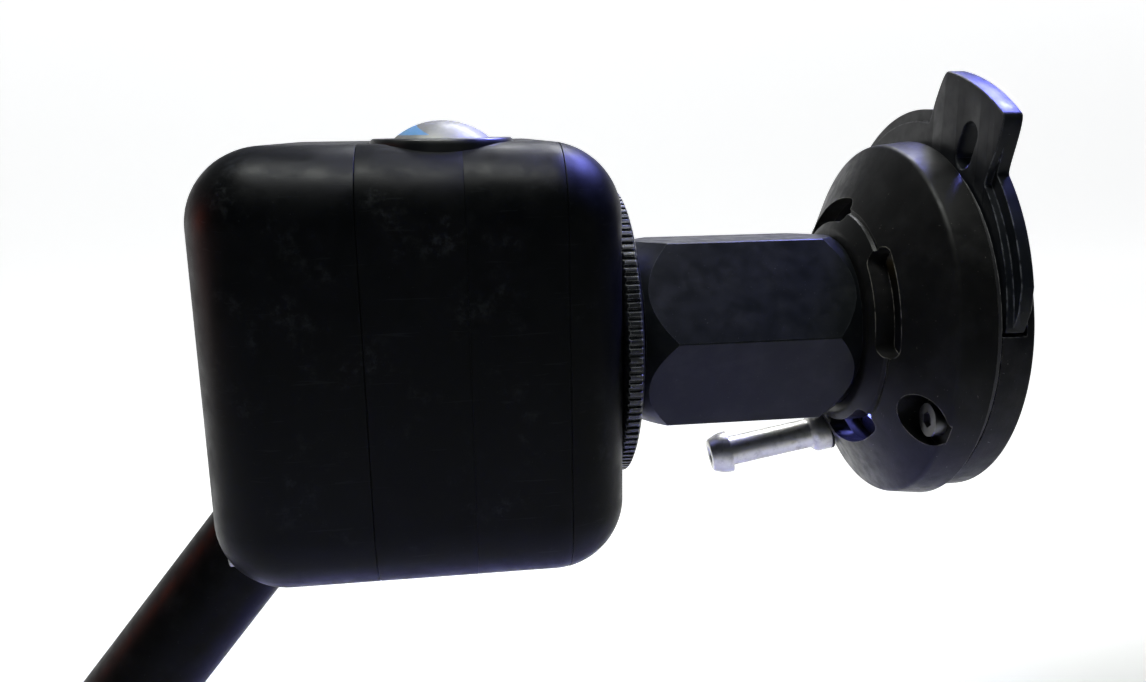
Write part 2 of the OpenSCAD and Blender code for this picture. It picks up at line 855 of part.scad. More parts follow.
module jaw_carrier() {
    color("#6f7276") difference() {
        ring(jaw_bed, plate_back - 0.1, carrier_in_r, cavity_r - 0.1);
        for (a = jaw_angles) round_at(jaw_bed - over, 0, a)
            translate([carrier_in_r - 2, -jaw_w / 2 - jaw_gap, 0])
                cube([jaw_bed_r - carrier_in_r + 2, jaw_w + 2 * jaw_gap, 3 + 2 * over]);
        for (a = bell_screw_angles) round_at(jaw_bed - over, pocket_at, a)
            cylinder(h = over + 2.7, r = small_screw_r + 0.02);
        for (a = flange_screw_angles) round_at(jaw_bed - over, flange_screw_at, a)
            cylinder(h = 6, r = flange_screw_r);
    }
}

// A radial jaw with the pin that runs in the lever's cam slot
module jaw(a) {
    color("#b08d4a") {
        difference() {
            round_at(jaw_back, 0, a) translate([jaw_face_r - 1.5, -jaw_w / 2, 0])
                cube([jaw_out - jaw_face_r + 1.5, jaw_w, jaw_front - jaw_back]);
            rod(jaw_back - over, jaw_front + over, jaw_face_r);
        }
        round_at(jaw_front - eps, pin_in, a) cylinder(h = pin_front - jaw_front + eps, r = pin_r);
    }
}

module jaw_1() {
    jaw(jaw_angles[0]);
}

module jaw_2() {
    jaw(jaw_angles[1]);
}

module jaw_3() {
    jaw(jaw_angles[2]);
}

module jaw_plate() {
    color("#55585b") difference() {
        ring(plate_back, plate_front, socket_r, flange_r - 0.2);
        for (a = jaw_angles) round_at(plate_back - over, 0, a)
            translate([pin_in - pin_slot_w / 2, -pin_slot_w / 2, 0]) cube([4.2, pin_slot_w, 3]);
        for (a = flange_screw_angles) round_at(plate_back - over, flange_screw_at, a)
            cylinder(h = 3, r = flange_screw_r + 0.1);
    }
}

// Angle of a cam point as seen from the cam arc's centre
function cam_angle(a, r, c) = atan2(r * sin(a) - cam_off * sin(c), r * cos(a) - cam_off * cos(c));

// The arc slot that moves the jaw at angle a
module cam_slot(a) {
    centre = a + lever_turn / 2 + 90;
    from = cam_angle(a - 1, pin_in, centre);
    to = cam_angle(a + lever_turn + 1, pin_in + jaw_travel, centre);
    sweep = (to - from + 360) % 360;
    along(lever_back - over) rotate([0, 0, centre]) translate([cam_off, 0, 0]) rotate([0, 0, from - centre]) {
        rotate_extrude(angle = sweep) translate([cam_r - cam_w / 2, 0]) square([cam_w, 5]);
        for (b = [0, sweep]) rotate([0, 0, b]) translate([cam_r, 0, 0]) cylinder(h = 5, r = cam_w / 2 + bulb);
    }
}

// Radius of a disc whose centre is off the axis, seen from the axis at angle a
function disc_reach(a, r) = let (b = a - disc_at) disc_off * cos(b) + sqrt(r * r - pow(disc_off * sin(b), 2));

// 0 to 1 along an S-curve
function s_curve(t) = let (u = min(max(t, 0), 1)) u * u * (3 - 2 * u);

// How far the thumb tab stands out at angle a, from 0 to 1
function tab_share(a) = s_curve((a - tab_from + flank) / flank) * s_curve((tab_to + flank - a) / flank);

// Radius at angle a of a disc of radius r with a thumb tab of radius tab
function lever_reach(a, r, tab) = let (d = disc_reach(a, r)) d + (tab - d) * tab_share(a);

// A flat shape from the axis out to rows of [radius, angle]
module fan(rows) {
    polygon(concat([[0, 0]], [for (p = rows) [p[0] * cos(p[1]), p[0] * sin(p[1])]]));
}

// Outline of the lever: an offset disc with a thumb tab and a bevelled end
module lever_outline() {
    mid_r = (disc_reach(lobe_bevel, disc_r) + flange_r) / 2 + bevel_swell;
    fan(concat(
        [for (a = [lobe_from:flank_step:lobe_bevel]) [lever_reach(a, disc_r, tab_r), a]],
        [[mid_r, (lobe_bevel + lobe_to) / 2], [flange_r, lobe_to]]
    ));
    circle(lever_hub_r);
}

// What stays of the lever's face towards the cover, where the lever is stepped down to a smaller disc
module lever_face() {
    fan([for (a = [lobe_from - 5:flank_step:lobe_to + 5]) [lever_reach(a, disc_r - step_in, tab_r + 2), a]]);
    circle(lever_hub_r + 1);
}

module lever_plate() {
    color("#26282b") difference() {
        along(lever_back) linear_extrude(lever_front - lever_back) lever_outline();
        along(lever_back - over) linear_extrude(lever_step - lever_back + over) difference() {
            circle(2 * tab_r);
            lever_face();
        }
        rod(lever_back - over, lever_front + over, lever_bore_r);
        for (a = jaw_angles) cam_slot(a);
        along(lever_back - over) rotate([0, 0, oval_at]) translate([oval_r, 0, 0]) {
            translate([oval_w / 2 - oval_l / 2, -oval_w / 2, 0]) cube([oval_l - oval_w, oval_w, 5]);
            for (s = [-1, 1]) translate([s * (oval_l - oval_w) / 2, 0, 0])
                cylinder(h = 5, r = oval_w / 2 + bulb);
        }
    }
}

module back_flange() {
    color("#2a2b2c") difference() {
        rod(plate_front, 0, flange_r);
        ring(plate_front - over, -flange_t, sleeve_r, wall_in_r);
        for (s = wall_gaps) sector(plate_front - over, -flange_t, sleeve_r + 1, flange_r + over, s[0], s[1]);
        rod(plate_front - over, over, socket_r);
        for (a = flange_screw_angles) round_at(plate_front - over, flange_screw_at, a) {
            cylinder(h = 8, r = flange_screw_r + 0.1);
            translate([0, 0, over - plate_front - flange_screw_sink])
                cylinder(h = 3, r = flange_head_r + 0.05);
        }
    }
}

module flange_screws() {
    color("#8d9094") for (a = flange_screw_angles) round_at(-flange_screw_sink, flange_screw_at, a)
        screw(flange_head_r, flange_screw_sink - 0.1, flange_screw_r - 0.02, flange_screw_l);
}

rear_cover();
rear_frame();
front_frame();
front_cover();
housing_seals();
housing_screws();
support_tube();
tube_socket();
socket_screws();
tube_end_plug();
button_bezel();
button_nut();
button_dome();
dome_inlay();
button_spring();
tactile_switch();
switch_board();
switch_posts();
mount_nose();
nose_screws();
window_gasket();
sensor_window();
sensor_carrier();
image_sensor();
sensor_board();
carrier_screws();
main_board();
board_spacers();
board_sockets();
ribbon_cable();
lock_ring();
barrel_oring();
hex_barrel();
rear_lens();
rear_retainer();
middle_lens();
lens_spacer();
front_lens();
front_retainer();
bell_cover();
bell_screws();
hose_barb();
barb_washer();
jaw_carrier();
jaw_1();
jaw_2();
jaw_3();
jaw_plate();
lever_plate();
back_flange();
flange_screws();
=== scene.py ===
"""Looks of the cube camera with its hexagonal barrel and quick-lock coupler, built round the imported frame.

+X runs along the barrel from the camera to the telescope, +Z is up, and the origin is the centre of the
coupler's mating face. Lengths in this file are millimetres until a mesh is made. Angles round the barrel
run from +Z towards -Y.
"""

import json
from math import asin, cos, degrees, pi, radians, sin, sqrt

import bmesh
import bpy
from mathutils import Matrix, Vector


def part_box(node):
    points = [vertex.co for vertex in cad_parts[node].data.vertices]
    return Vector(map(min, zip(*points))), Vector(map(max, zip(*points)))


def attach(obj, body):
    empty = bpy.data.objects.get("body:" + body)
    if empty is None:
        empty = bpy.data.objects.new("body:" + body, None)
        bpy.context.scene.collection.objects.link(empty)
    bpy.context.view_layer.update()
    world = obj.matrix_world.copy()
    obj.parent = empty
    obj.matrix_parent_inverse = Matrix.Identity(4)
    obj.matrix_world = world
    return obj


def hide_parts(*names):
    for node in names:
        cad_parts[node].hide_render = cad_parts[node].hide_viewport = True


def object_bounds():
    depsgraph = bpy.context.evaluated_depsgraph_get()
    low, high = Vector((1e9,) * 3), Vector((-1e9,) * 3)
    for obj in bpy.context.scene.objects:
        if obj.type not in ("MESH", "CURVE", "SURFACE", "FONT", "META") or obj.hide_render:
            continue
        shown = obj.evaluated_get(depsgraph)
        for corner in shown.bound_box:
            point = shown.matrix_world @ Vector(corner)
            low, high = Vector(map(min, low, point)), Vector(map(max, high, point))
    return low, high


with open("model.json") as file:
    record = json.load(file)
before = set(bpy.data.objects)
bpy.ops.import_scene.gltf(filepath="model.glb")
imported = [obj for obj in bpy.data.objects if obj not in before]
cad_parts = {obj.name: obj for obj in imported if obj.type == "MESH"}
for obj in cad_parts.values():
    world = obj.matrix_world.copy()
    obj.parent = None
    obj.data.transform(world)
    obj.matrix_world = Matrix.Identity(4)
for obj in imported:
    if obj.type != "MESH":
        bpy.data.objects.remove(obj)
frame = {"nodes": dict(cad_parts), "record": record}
cad_box = [[float(v) for v in corner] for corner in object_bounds()]
nodes = frame["nodes"]
MM = 0.001


def span(node):
    """A node's lowest and highest corners, in millimetres."""
    low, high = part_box(node)
    return Vector(low) / MM, Vector(high) / MM


# ---------------------------------------------------------------- sizes

rear_low, rear_high = span("rear_cover")
REAR, FRONT = rear_low.x, span("front_cover")[1].x
SEAMS = [rear_high.x, span("rear_frame")[1].x, span("front_frame")[1].x]
HALF_W, HALF_H = 26.3, 27.0
EDGE_R, WALL = 9.2, 2.2
SEAM_EASE = [0.13, 0.05, 0.11]
HOUSING_SCREWS = ((20, 20.7), (20, -20.7), (-16.8, -21.9), (6.2, 21.9))
HOUSING_SCREW_R = 2.8
SOCKET_SCREW_X, SOCKET_SCREW_Y, SOCKET_SCREW_R = -13.5, 8.5, 2.2
NOSE_R = 14.0

bezel_low, bezel_high = span("button_bezel")
BUTTON = Vector(((bezel_low.x + bezel_high.x) / 2, (bezel_low.y + bezel_high.y) / 2, 0))
RIM_Z, BEZEL_R, BEZEL_SEAT = bezel_high.z, 9.0, 24.0
BEZEL_BASE, BEZEL_THREAD_R, BEZEL_BORE_R = 21.3, 7.6, 6.8
DOME_R = 5.8

ring_low, ring_high = span("lock_ring")
RIDGES, RIDGE_H = 110, 0.42
THREAD_R = 12.7

HUB_FRONT, RIM_FRONT, RIM_REAR = -16.9, -10.2, -5.5
HUB_R, CONE_R, RIM_R = 13.5, 25.5, 25.9
SPIGOT_R, HUB_IN = 11.55, -13.9
CAVITY_R, CAVITY_BACK, STEP_R, STEP_BACK = 24.3, -8.4, 18.6, -11.2
SLOT_R, SLOT_W, SLOT_SPAN, SLOT_AT = 16.3, 3.4, 54, 70
POCKET_R, POCKET_AT, POCKET_FLOOR, POCKET_ANGLES = 3.4, 22.3, -9.6, (115, 295)
BARB_AT, BARB_TILT, BARB_R, BARB_L = 200, 12.3, 20.3, 19.5
BARB_BORE_R, BARB_SPIGOT_R, BARB_COLLAR_R, BARB_SHANK_R, BARB_HEAD_R = 1.2, 1.9, 3.1, 2.3, 3.3

LEVER_BACK, LEVER_FRONT, LEVER_BORE_R = -4.15, -1.45, 16.95
OVAL_R, OVAL_AT, OVAL_L, OVAL_W = 28.3, 26, 6.4, 3.7
FLANGE_R, FLANGE_BACK, FLANGE_FACE = 24.85, -4.4, -1.2
SOCKET_R, SLEEVE_R, CHANNEL_R = 15.95, 16.9, 21.5
WALL_GAPS = ((-127, 84.8), (160, 172))
FLANGE_SCREWS, FLANGE_SCREW_AT, FLANGE_SCREW_R, FLANGE_SCREW_X = (98, 132, 200), 23.1, 1.45, -0.9
TUBE_SLOPE, TUBE_AIM, TUBE_R, TUBE_WALL = 50.7, -1.6, 7.0, 1.5
TUBE_FROM, TUBE_TO = 19.5, 130
BODY_X = (REAR + FRONT) / 2

# ---------------------------------------------------------------- mesh helpers


def new_object(name, verts, faces):
    """A linked object with a welded mesh, from points in millimetres."""
    mesh = bpy.data.meshes.new(name)
    mesh.from_pydata([tuple(c * MM for c in v) for v in verts], [], faces)
    tool = bmesh.new()
    tool.from_mesh(mesh)
    bmesh.ops.remove_doubles(tool, verts=tool.verts, dist=1e-7)
    bmesh.ops.recalc_face_normals(tool, faces=tool.faces)
    tool.to_mesh(mesh)
    tool.free()
    thing = bpy.data.objects.new(name, mesh)
    bpy.context.scene.collection.objects.link(thing)
    return thing


def smooth(thing, angle=28):
    """Smooth shading, with edges sharper than the angle left hard."""
    mesh = thing.data
    mesh.polygons.foreach_set("use_smooth", [True] * len(mesh.polygons))
    mesh.set_sharp_from_angle(angle=radians(angle))
    return thing


def loft(name, sections, closed=False):
    """A skin over closed sections of equal length; closed joins the last section to the first."""
    count = len(sections[0])
    verts = [p for section in sections for p in section]
    faces = []
    pairs = [(i, i + 1) for i in range(len(sections) - 1)]
    if closed:
        pairs.append((len(sections) - 1, 0))
    for i, j in pairs:
        for k in range(count):
            n = (k + 1) % count
            faces.append((i * count + k, i * count + n, j * count + n, j * count + k))
    if not closed:
        faces.append(tuple(range(count - 1, -1, -1)))
        faces.append(tuple((len(sections) - 1) * count + k for k in range(count)))
    return new_object(name, verts, faces)


def eased(points, steps=4):
    """Rounds the corners of a closed outline of (a, b, radius) points."""
    out = []
    count = len(points)
    for i, (a, b, r) in enumerate(points):
        here = Vector((a, b))
        back = Vector(points[i - 1][:2]) - here
        on = Vector(points[(i + 1) % count][:2]) - here
        reach = min(r, back.length * 0.49, on.length * 0.49)
        if reach < 1e-4:
            out.append((a, b))
            continue
        start, end = here + back.normalized() * reach, here + on.normalized() * reach
        for k in range(steps + 1):
            t = k / steps
            p = start * (1 - t) ** 2 + here * 2 * t * (1 - t) + end * t ** 2
            out.append((p.x, p.y))
    return out


def place_barrel(x, y, z):
    """From a turned part's own axis to the barrel: z runs along +X, x points up, y points to -Y."""
    return (z, -y, x)


def turned(name, outline, steps=160, place=place_barrel):
    """A solid of revolution whose outline is (radius, station, easing)."""
    profile = eased(outline)
    sections = [[place(max(r, 0) * cos(2 * pi * k / steps), max(r, 0) * sin(2 * pi * k / steps), z)
                 for r, z in profile] for k in range(steps)]
    return loft(name, sections, closed=True)


def matrix_place(matrix):
    """From a turned part's own axis to the place that a matrix gives."""
    return lambda x, y, z: tuple(matrix @ Vector((x, y, z)))


def peg(centre, axis, r, length, steps=64):
    """A plain cylinder that cuts a hole; it starts at centre and runs along axis."""
    turn = Vector((0, 0, 1)).rotation_difference(Vector(axis)).to_matrix()
    rings = [[tuple(Vector(centre) + turn @ Vector((r * cos(a), r * sin(a), z)))
              for a in (2 * pi * k / steps for k in range(steps))] for z in (0, length)]
    return loft("cutter", rings)


def cut(thing, cutters):
    """Cuts the cutters out of the thing, one after another, and removes them."""
    for cutter in cutters:
        tool = thing.modifiers.new("cut", "BOOLEAN")
        tool.operation = "DIFFERENCE"
        tool.solver = "EXACT"
        tool.object = cutter
        graph = bpy.context.evaluated_depsgraph_get()
        result = bpy.data.meshes.new_from_object(thing.evaluated_get(graph))
        thing.modifiers.clear()
        old = thing.data
        thing.data = result
        bpy.data.meshes.remove(old)
        bpy.data.objects.remove(cutter)
    return thing


def round_at(x, r, angle):
    """A point at a radius and an angle round the barrel."""
    a = radians(angle)
    return Vector((x, -r * sin(a), r * cos(a)))


def finish_piece(thing, body, slot, *replaced, angle=28):
    """Gives a piece its slot's material, its body and the nodes that it stands in for."""
    thing.data.materials.clear()
    thing.data.materials.append(MATERIALS[slot])
    smooth(thing, angle)
    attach(thing, body)
    if replaced:
        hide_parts(*replaced)
    return thing


# ---------------------------------------------------------------- materials


class Nodes:
    """A short way to build a node tree whose textures are laid out in millimetres."""

    def __init__(self, name):
        self.material = bpy.data.materials.new(name)
        self.material.use_nodes = True
        self.tree = self.material.node_tree
        self.shader = self.tree.nodes["Principled BSDF"]
        coords = self.tree.nodes.new("ShaderNodeTexCoord")
        scale = self.tree.nodes.new("ShaderNodeVectorMath")
        scale.operation = "SCALE"
        scale.inputs["Scale"].default_value = 1 / MM
        self.link(coords.outputs["Object"], scale.inputs[0])
        self.mm = scale.outputs[0]

    def link(self, a, b):
        self.tree.links.new(a, b)

    def stretched(self, factors):
        """The texture's place, drawn out or squeezed along each axis."""
        node = self.tree.nodes.new("ShaderNodeVectorMath")
        node.operation = "MULTIPLY"
        node.inputs[1].default_value = factors
        self.link(self.mm, node.inputs[0])
        return node.outputs[0]

    def noise(self, scale, detail=4, rough=0.55, vector=None, distortion=0):
        node = self.tree.nodes.new("ShaderNodeTexNoise")
        node.inputs["Scale"].default_value = scale
        node.inputs["Detail"].default_value = detail
        node.inputs["Roughness"].default_value = rough
        node.inputs["Distortion"].default_value = distortion
        self.link(vector or self.mm, node.inputs["Vector"])
        return node.outputs["Fac"]

    def ramp(self, value, low, high, to_low=0.0, to_high=1.0):
        node = self.tree.nodes.new("ShaderNodeMapRange")
        node.interpolation_type = "SMOOTHSTEP"
        limits = {"From Min": low, "From Max": high, "To Min": to_low, "To Max": to_high}
        for key, number in limits.items():
            node.inputs[key].default_value = number
        self.link(value, node.inputs["Value"])
        return node.outputs["Result"]

    def math(self, operation, a, b):
        node = self.tree.nodes.new("ShaderNodeMath")
        node.operation = operation
        for socket, value in zip(node.inputs, (a, b)):
            if isinstance(value, (int, float)):
                socket.default_value = value
            else:
                self.link(value, socket)
        return node.outputs[0]

    def mix(self, fac, a, b):
        node = self.tree.nodes.new("ShaderNodeMix")
        node.data_type = "RGBA"
        self.link(fac, node.inputs["Factor"])
        for socket, value in ((node.inputs[6], a), (node.inputs[7], b)):
            if isinstance(value, tuple):
                socket.default_value = (*value, 1)
            else:
                self.link(value, socket)
        return node.outputs[2]

    def edges(self, radius=0.35):
        """1 along convex and concave edges, 0 on open faces."""
        bevel = self.tree.nodes.new("ShaderNodeBevel")
        bevel.samples = 6
        bevel.inputs["Radius"].default_value = radius * MM
        geometry = self.tree.nodes.new("ShaderNodeNewGeometry")
        dot = self.tree.nodes.new("ShaderNodeVectorMath")
        dot.operation = "DOT_PRODUCT"
        self.link(bevel.outputs[0], dot.inputs[0])
        self.link(geometry.outputs["Normal"], dot.inputs[1])
        return self.ramp(dot.outputs["Value"], 0.995, 0.86)

    def bump(self, height, distance, strength=1.0, under=None):
        node = self.tree.nodes.new("ShaderNodeBump")
        node.inputs["Distance"].default_value = distance * MM
        node.inputs["Strength"].default_value = strength
        self.link(height, node.inputs["Height"])
        if under:
            self.link(under, node.inputs["Normal"])
        return node.outputs[0]

    def done(self, color=None, roughness=None, normal=None, metallic=None, **plain):
        inputs = {"Base Color": color, "Roughness": roughness, "Normal": normal, "Metallic": metallic}
        for key, value in inputs.items():
            if value is None:
                continue
            if isinstance(value, tuple):
                self.shader.inputs[key].default_value = (*value, 1)
            elif isinstance(value, (int, float)):
                self.shader.inputs[key].default_value = value
            else:
                self.link(value, self.shader.inputs[key])
        for key, value in plain.items():
            self.shader.inputs[key.replace("_", " ")].default_value = value
        return self.material


def black_plastic(name, worn=1.0, rough=0.40, specular=0.10):
    """Finely moulded black plastic with blotchy rubbed patches, dust and hairline scratches."""
    n = Nodes(name)
    blotch = n.ramp(n.noise(0.16, 5, 0.6), 0.5, 0.72)
    mottled = n.ramp(n.noise(0.9, 6, 0.7), 0.46, 0.66)
    hair = n.ramp(n.noise(0.55, 3, 0.5, n.stretched((0.25, 1.0, 4.5)), 0.4), 0.66, 0.70)
    speck = n.ramp(n.noise(3.2, 2, 0.5), 0.72, 0.76)
    grain = n.noise(9.0, 3, 0.6)
    patch = n.math("MULTIPLY", blotch, mottled)
    dust = n.math("MAXIMUM", n.math("MULTIPLY", patch, 0.55 * worn), n.math("MULTIPLY", speck, 0.4 * worn))
    dust = n.math("MAXIMUM", dust, n.math("MULTIPLY", hair, 0.2 * worn))
    color = n.mix(dust, (0.0012, 0.0016, 0.0020), (0.026, 0.029, 0.030))
    roughness = n.math("ADD", n.ramp(n.noise(0.3, 5, 0.6), 0.3, 0.7, rough - 0.07, rough + 0.08),
                       n.math("MULTIPLY", patch, 0.14))
    normal = n.bump(grain, 0.02, 0.5, n.bump(n.noise(0.05, 2, 0.5), 0.25, 0.5))
    return n.done(color, roughness, normal, Specular_IOR_Level=specular)


def black_anodised(name, base=(0.006, 0.007, 0.008), worn=1.0, rough=0.34, specular=0.2, turning=0.0,
                   edge_radius=0.35, edge_wear_and_highlight=(0.10, 0.10, 0.105)):
    """Black anodised aluminium: fine grain, edges painted lighter as rubbed wear and as a painted edge
    highlight, specks and thin scratches.
    """
    n = Nodes(name)
    # Lighter along every edge: partly rubbed wear, partly a painted edge highlight.
    lighter_edges = n.math("MULTIPLY", n.edges(edge_radius), n.ramp(n.noise(0.7, 5, 0.65), 0.36, 0.62))
    scratch = n.ramp(n.noise(0.9, 4, 0.7, n.stretched((2.6, 0.16, 0.30)), 1.6), 0.72, 0.74)
    cross = n.ramp(n.noise(0.8, 4, 0.7, n.stretched((0.12, 1.5, 2.2)), 1.8), 0.735, 0.755)
    speck = n.ramp(n.noise(2.4, 3, 0.6), 0.70, 0.75)
    dusty = n.ramp(n.noise(0.22, 6, 0.65), 0.42, 0.75)
    marks = n.math("MAXIMUM", n.math("MAXIMUM", scratch, cross), speck)
    wear_and_edge_highlight = n.math("MAXIMUM", n.math("MULTIPLY", marks, 0.45 * worn), n.math("MULTIPLY", lighter_edges, min(worn, 1.2)))
    color = n.mix(n.math("MULTIPLY", dusty, 0.35 * worn), base, tuple(c + 0.022 for c in base))
    # The edge colour mixed in here is rubbed wear and painted edge highlight together.
    color = n.mix(wear_and_edge_highlight, color, edge_wear_and_highlight)
    roughness = n.ramp(n.noise(0.5, 5, 0.6), 0.3, 0.7, rough - 0.06, rough + 0.09)
    normal = n.bump(n.noise(7.0, 3, 0.6), 0.012, 0.5)
    if turning:
        normal = n.bump(n.noise(1.0, 2, 0.5, n.stretched((14.0, 0.02, 0.02))), 0.02, turning, normal)
    return n.done(color, roughness, normal, Specular_IOR_Level=specular)


def bare_metal(name, base, rough=0.28, grain=(14.0, 0.3, 0.3), tarnish=(0.12, 0.11, 0.10)):
    """Bare turned or drawn metal with fine tool lines and tarnish in patches."""
    n = Nodes(name)
    patch = n.ramp(n.noise(0.8, 6, 0.65), 0.45, 0.75)
    lines = n.noise(1.0, 3, 0.6, n.stretched(grain))
    lighter_edges = n.math("MULTIPLY", n.edges(0.25), 0.6)
    color = n.mix(n.math("MULTIPLY", patch, 0.45), base, tarnish)
    color = n.mix(lighter_edges, color, tuple(min(c * 1.35, 0.9) for c in base))
    roughness = n.math("ADD", n.ramp(lines, 0.3, 0.7, rough - 0.06, rough + 0.08),
                       n.math("MULTIPLY", patch, 0.12))
    return n.done(color, roughness, n.bump(lines, 0.01, 0.5), metallic=1.0)


def moulded(name, base, rough=0.4, specular=0.5, scale=2.0, depth=0.02, metallic=0.0, mottling=0.28, **plain):
    """Any plain moulded, printed or cast material, with mottling and a fine grain."""
    n = Nodes(name)
    mottle = n.noise(scale * 0.2, 5, 0.6)
    color = n.mix(n.ramp(mottle, 0.35, 0.7), base, tuple(c * (1 - mottling) for c in base))
    roughness = n.ramp(n.noise(scale * 0.5, 4, 0.6), 0.3, 0.7, max(rough - 0.08, 0.02), rough + 0.1)
    return n.done(color, roughness, n.bump(n.noise(scale * 4, 3, 0.6), depth, 0.5), metallic,
                  Specular_IOR_Level=specular, **plain)


def glassy(name, tint):
    """Clear optical glass with a faint tint and smears."""
    n = Nodes(name)
    smear = n.noise(0.4, 5, 0.6)
    color = n.mix(n.ramp(smear, 0.4, 0.7), tint, tuple(c * 0.92 for c in tint))
    return n.done(color, n.ramp(smear, 0.3, 0.8, 0.02, 0.07), n.bump(smear, 0.002, 0.2),
                  Transmission_Weight=0.9, IOR=1.5)


MATERIALS = {
    "rear_cover": black_plastic("rear_cover_skin", worn=0.9),
    "rear_frame": black_plastic("rear_frame_skin", worn=0.9, rough=0.44),
    "front_frame": black_plastic("front_frame_skin", worn=1.0, rough=0.40),
    "front_cover": black_plastic("front_cover_skin", worn=0.8, rough=0.43),
    "bezel": black_plastic("bezel_skin", worn=0.9, rough=0.36, specular=0.5),
    "support_tube": black_anodised("tube_skin", (0.002, 0.002, 0.0022), worn=0.5, rough=0.38, specular=0.06),
    "end_plug": moulded("plug_skin", (0.012, 0.012, 0.012), rough=0.5, specular=0.4),
    # The ring's pale edge colour and high wear paint highlights onto the knurl ridges, on top of their rubbed
    # wear.
    "lock_ring": black_anodised("ring_skin", (0.008, 0.009, 0.010), worn=1.6, rough=0.32, specular=0.35,
                                edge_radius=0.18, edge_wear_and_highlight=(0.42, 0.43, 0.44)),
    "hex_barrel": black_anodised("hex_skin", (0.004, 0.005, 0.006), worn=1.0, rough=0.36, specular=0.13,
                                 edge_radius=0.22, edge_wear_and_highlight=(0.09, 0.095, 0.10)),
    "bell_cover": black_anodised("bell_skin", (0.004, 0.004, 0.004), worn=0.7, rough=0.38, specular=0.12,
                                 turning=0.3, edge_radius=0.22, edge_wear_and_highlight=(0.26, 0.25, 0.22)),
    "lever_plate": black_anodised("lever_skin", (0.005, 0.006, 0.008), worn=1.0, rough=0.36, specular=0.18,
                                  edge_radius=0.35, edge_wear_and_highlight=(0.13, 0.135, 0.15)),
    "back_flange": black_anodised("flange_skin", (0.006, 0.006, 0.007), worn=1.5, rough=0.40, specular=0.14,
                                  turning=0.5, edge_radius=0.3, edge_wear_and_highlight=(0.16, 0.16, 0.16)),
    "inner_black": moulded("inner_black_skin", (0.010, 0.010, 0.011), rough=0.5, specular=0.4),
    "plain_aluminium": bare_metal("aluminium_skin", (0.62, 0.63, 0.65), rough=0.32),
    "jaw_plate": black_anodised("jaw_plate_skin", (0.02, 0.02, 0.022), worn=1.0, rough=0.40, specular=0.5,
                                edge_radius=0.2, edge_wear_and_highlight=(0.25, 0.25, 0.25)),
    "jaw_brass": bare_metal("jaw_skin", (0.72, 0.52, 0.22), rough=0.3, tarnish=(0.25, 0.16, 0.06)),
    "screw_steel": bare_metal("screw_skin", (0.30, 0.30, 0.31), rough=0.34),
    # The same screw steel made darker: painted shade for the screw sitting in the bell's pocket.
    "pocket_screw": bare_metal("pocket_screw_painted_shade_skin", (0.13, 0.13, 0.135), rough=0.34),
    "nut_steel": bare_metal("nut_skin", (0.5, 0.5, 0.51), rough=0.32),
    "spring_steel": bare_metal("spring_skin", (0.6, 0.6, 0.62), rough=0.25),
    "hose_barb": bare_metal("barb_skin", (0.62, 0.61, 0.58), rough=0.38, grain=(3.0, 3.0, 3.0)),
    "dome": moulded("dome_skin", (0.20, 0.20, 0.17), rough=0.50, specular=0.5, scale=3.0, depth=0.002,
                    metallic=0.7, mottling=0.06, Coat_Weight=0.05, Coat_Roughness=0.2),
    # The inlay's light blue is a painted reflection of pale blue surroundings on the dome.
    "dome_inlay": moulded("inlay_painted_reflection_skin", (0.10, 0.24, 0.36), rough=0.4, specular=0.3, scale=3.0, depth=0.002,
                          mottling=0.06, Coat_Weight=0.1, Coat_Roughness=0.08),
    "seal_rubber": moulded("seal_skin", (0.012, 0.012, 0.012), rough=0.7, specular=0.3),
    "switch_plastic": moulded("switch_skin", (0.03, 0.03, 0.03), rough=0.35),
    "circuit_board": moulded("board_skin", (0.012, 0.10, 0.05), rough=0.3, specular=0.5, scale=5.0, depth=0.01),
    "brass_posts": bare_metal("post_skin", (0.72, 0.55, 0.25), rough=0.3, tarnish=(0.3, 0.2, 0.08)),
    "window_glass": glassy("window_skin", (0.82, 0.95, 0.96)),
    "lens_glass": glassy("lens_skin", (0.85, 0.9, 0.98)),
    "sensor_face": moulded("sensor_skin", (0.05, 0.03, 0.09), rough=0.12, specular=0.6, scale=6.0, depth=0.002,
                           Coat_Weight=0.8),
    "socket_plastic": moulded("socket_skin", (0.7, 0.66, 0.56), rough=0.45),
    "ribbon_film": moulded("ribbon_skin", (0.5, 0.33, 0.12), rough=0.35),
}
slot_of = {row["node"]: row["material_slot"] for row in frame["record"]["subparts"]}
for name, thing in nodes.items():
    thing.data.materials.clear()
    thing.data.materials.append(MATERIALS[slot_of[name]])

# ---------------------------------------------------------------- housing


def edge_inset(x):
    """How far the rounded housing draws in at a station."""
    d = min(x - REAR, FRONT - x)
    if d >= EDGE_R:
        return 0.0
    d = max(d, 0.0)
    return EDGE_R - sqrt(EDGE_R ** 2 - (EDGE_R - d) ** 2)


def section(x, inset, arc=10):
    """The housing's rounded outline at a station, drawn in by inset."""
    r = max(EDGE_R - inset, 0.01)
    points = []
    for corner, (sy, sz) in enumerate(((1, 1), (-1, 1), (-1, -1), (1, -1))):
        cy, cz = sy * (HALF_W - inset - r), sz * (HALF_H - inset - r)
        for k in range(arc + 1):
            a = radians(90 * corner + 90 * k / arc)
            points.append((x, cy + r * cos(a), cz + r * sin(a)))
    return points


def wall_stations(x0, x1, depth):
    """Stations and insets of the wall between x0 and x1, at a depth below the skin."""
    r = EDGE_R - depth
    rows = []
    for k in range(19):
        t = radians(5 * k)
        rows.append((REAR + depth + r * (1 - cos(t)), depth + r * (1 - sin(t))))
        rows.append((FRONT - depth - r * (1 - cos(t)), depth + r * (1 - sin(t))))
    return sorted(row for row in rows if x0 + 0.3 < row[0] < x1 - 0.3)


